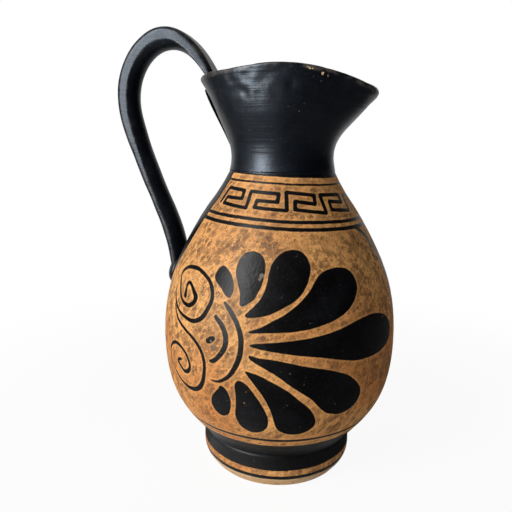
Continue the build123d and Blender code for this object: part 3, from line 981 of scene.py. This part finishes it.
def make_neck():
    """Neck with wheel marks, smeared dents under the rim, chips, and a bead on the spout's lip."""
    mesh = dense_copy("neck", "jug_neck", NECK_VOXEL)
    places = coordinates(mesh)
    height = places[:, 2]
    low, high = height.min(), height.max()
    above_joint = np.clip((height - low - JOINT_FADE) / JOINT_FADE, 0, 1)
    set_attribute(mesh, "edge", edge_share(mesh, EDGE_ROUNDS) * above_joint)
    chip = np.full(len(places), PAINT_REACH)
    for x, y, z, size in NECK_CHIPS:
        chip = np.minimum(chip, np.linalg.norm(places - (x, y, z), axis=1) - size)
    set_attribute(mesh, "chip", chip)
    rim_zone = between(height, high - RIM_DOWN, high + RIM_UP, RIM_SOFT)
    smear = np.clip(dents(places, NECK_SMEAR_SIZE, NECK_SMEAR_STRETCH) - NECK_SMEAR_FLAT, 0, 1)
    depth = NECK_DENT * dents(places, NECK_DENT_SIZE) + NECK_RING * ring_marks(places, NECK_RING_SIZE)
    depth += NECK_SMEAR * smear * rim_zone * dents(places, NECK_SMEAR_PATCH)
    for x, y, z, size, deep in NECK_FINGERS:
        depth += deep * closeness(places, (x, y, z), size)
    depth *= above_joint
    depth *= np.clip((places[:, 0] - NECK_DENT_FROM) / JOINT_FADE, 0, 1)
    press_in(mesh, depth)
    tip = places[np.argmax(places[:, 0])]
    fill_out(mesh, tip + np.array(BEAD_FROM_TIP), BEAD_HALF, BEAD_HEADING)
    material = black_slip("neck_slip", NECK_WEAR_AND_HIGHLIGHT, NECK_GLOSS, chipped=True)
    add_piece("jug_neck", mesh, "neck", material)


def add_camera():
    """Camera at the photograph's viewpoint."""
    data = bpy.data.cameras.new("camera")
    data.lens = CAMERA_LENS
    data.sensor_width = CAMERA_SENSOR
    camera = add_object("camera", data)
    turned = Matrix((CAMERA_RIGHT, [-v for v in CAMERA_DOWN], [-v for v in CAMERA_FORWARD])).transposed()
    camera.matrix_world = Matrix.Translation(Vector(CAMERA_EYE) * MM) @ turned.to_4x4()
    bpy.context.scene.camera = camera


def seen_ray(tree):
    """1 for rays that show the background: camera, mirror-like and see-through ones."""
    path = tree.nodes.new("ShaderNodeLightPath")
    total = path.outputs["Is Camera Ray"]
    for name in ("Is Glossy Ray", "Is Transmission Ray"):
        larger = tree.nodes.new("ShaderNodeMath")
        larger.operation = "MAXIMUM"
        tree.links.new(total, larger.inputs[0])
        tree.links.new(path.outputs[name], larger.inputs[1])
        total = larger.outputs[0]
    return total


def add_floor():
    """Pale floor that melts into the white background and keeps a soft shadow."""
    half = FLOOR_SIZE / 2
    mesh = bpy.data.meshes.new("floor")
    corners = [(-half, -half, 0), (half, -half, 0), (half, half, 0), (-half, half, 0)]
    mesh.from_pydata(corners, [], [(0, 1, 2, 3)])
    floor = add_object("floor", mesh)
    shade = Shading("floor")
    length = shade.tree.nodes.new("ShaderNodeVectorMath")
    length.operation = "LENGTH"
    shade.feed(length.inputs[0], shade.place)
    glow_share = shade.fade(length.outputs["Value"], FLOOR_NEAR, FLOOR_FAR, FLOOR_GLOW_NEAR, 1.0)
    matt = shade.tree.nodes.new("ShaderNodeBsdfDiffuse")
    matt.inputs["Color"].default_value = (FLOOR_WHITE, FLOOR_WHITE, FLOOR_WHITE, 1)
    glow = shade.tree.nodes.new("ShaderNodeEmission")
    blend = shade.tree.nodes.new("ShaderNodeMixShader")
    shade.feed(blend.inputs[0], shade.math("MULTIPLY", seen_ray(shade.tree), glow_share))
    shade.feed(blend.inputs[1], matt.outputs[0])
    shade.feed(blend.inputs[2], glow.outputs[0])
    shade.feed(shade.output.inputs["Surface"], blend.outputs[0])
    mesh.materials.append(shade.material)


def add_world():
    """White surroundings to look at, with a weaker even fill light."""
    world = bpy.data.worlds.new("studio")
    bpy.context.scene.world = world
    world.use_nodes = True
    tree = world.node_tree
    background = tree.nodes["Background"]
    background.inputs["Color"].default_value = (1, 1, 1, 1)
    strength = tree.nodes.new("ShaderNodeMapRange")
    strength.inputs["To Min"].default_value = WORLD_FILL
    strength.inputs["To Max"].default_value = 1.0
    tree.links.new(seen_ray(tree), strength.inputs["Value"])
    tree.links.new(strength.outputs[0], background.inputs["Strength"])


def direction(azimuth, elevation):
    """Unit vector towards an azimuth and an elevation in degrees."""
    turn = math.radians(azimuth)
    rise = math.radians(elevation)
    return Vector((math.cos(turn) * math.cos(rise), math.sin(turn) * math.cos(rise), math.sin(rise)))


def add_lamp(name, azimuth, elevation, distance, width, height, power, lights, mirrored):
    """Soft oblong lamp that faces the jug, lights it or not, and is mirrored in it or not."""
    data = bpy.data.lights.new(name, "AREA")
    data.shape = "RECTANGLE"
    data.size = width
    data.size_y = height
    data.energy = power
    lamp = add_object(name, data)
    away = direction(azimuth, elevation)
    lamp.location = Vector((0, 0, cad_box[1][2] / 2)) + away * distance
    lamp.rotation_euler = away.to_track_quat("Z", "Y").to_euler()
    lamp.visible_diffuse = lights
    lamp.visible_glossy = mirrored


def add_dark_sheet(name, turns, rows, grey):
    """Dark sheet that the camera doesn't see: rows of (radius, height) swept round between two turns."""
    verts = []
    for step in range(SHEET_STEPS + 1):
        turn = turns[0] + (turns[1] - turns[0]) * step / SHEET_STEPS
        for radius, height in rows:
            verts.append(direction(turn, 0.0) * radius + Vector((0, 0, height)))
    faces = []
    across = len(rows)
    for step in range(SHEET_STEPS):
        for row in range(across - 1):
            corner = step * across + row
            faces.append((corner, corner + across, corner + across + 1, corner + 1))
    mesh = bpy.data.meshes.new(name)
    mesh.from_pydata(verts, [], faces)
    sheet = add_object(name, mesh)
    shade = Shading(name)
    mesh.materials.append(shade.surface(grey, SHEET_ROUGHNESS, SHEET_GLOSS))
    sheet.visible_camera = False
    return sheet


def add_screen():
    """Dark curved screen round the viewpoint, and grey cards and a grey screen, for deep reflections."""
    rises = [math.radians(rise) for rise in SCREEN_RISES]
    curve = [(SCREEN_RADIUS * math.cos(rise), SCREEN_RADIUS * math.sin(rise)) for rise in rises]
    add_dark_sheet("screen", SCREEN_TURNS, curve, SCREEN_GREY)
    flat = [(radius, CARD_HEIGHT) for radius in CARD_RADII]
    cards = (("card", CARD_TURNS, flat), ("side_card", SIDE_TURNS, flat), ("side_screen", SIDE_TURNS, curve))
    for name, turns, rows in cards:
        card = add_dark_sheet(name, turns, rows, CARD_GREY)
        card.visible_diffuse = False
        card.visible_shadow = False


bpy.context.scene.view_settings.view_transform = "Standard"
add_camera()
add_world()
add_floor()
add_screen()
for lamp_sizes in LAMPS:
    add_lamp(*lamp_sizes)

make_body()
make_turned("jug_foot", "foot", FOOT_STEP, FOOT_SEGMENTS, painted_foot(), FOOT_DENT)
luting_slip = black_slip("luting_slip", LUTING_WEAR_AND_HIGHLIGHT, LUTING_GLOSS)
make_turned("jug_foot_luting", "foot_luting", LUTING_STEP, LUTING_SEGMENTS, luting_slip)
make_turned("jug_neck_luting", "neck_luting", LUTING_STEP, LUTING_SEGMENTS, luting_slip)
make_neck()
handle_slip = black_slip("handle_slip", HANDLE_WEAR_AND_HIGHLIGHT, HANDLE_GLOSS)
make_dense("jug_handle", "handle", HANDLE_VOXEL, handle_slip, HANDLE_DENT)
make_dense("jug_handle_tail", "handle_tail", TAIL_VOXEL, handle_slip)
root = make_dense("jug_handle_root", "handle_root", HANDLE_VOXEL, handle_slip)
swell(root.data, HEEL_PLACE, HEEL_SWELL_SIZE, HEEL_SWELL, HEEL_HEADING)
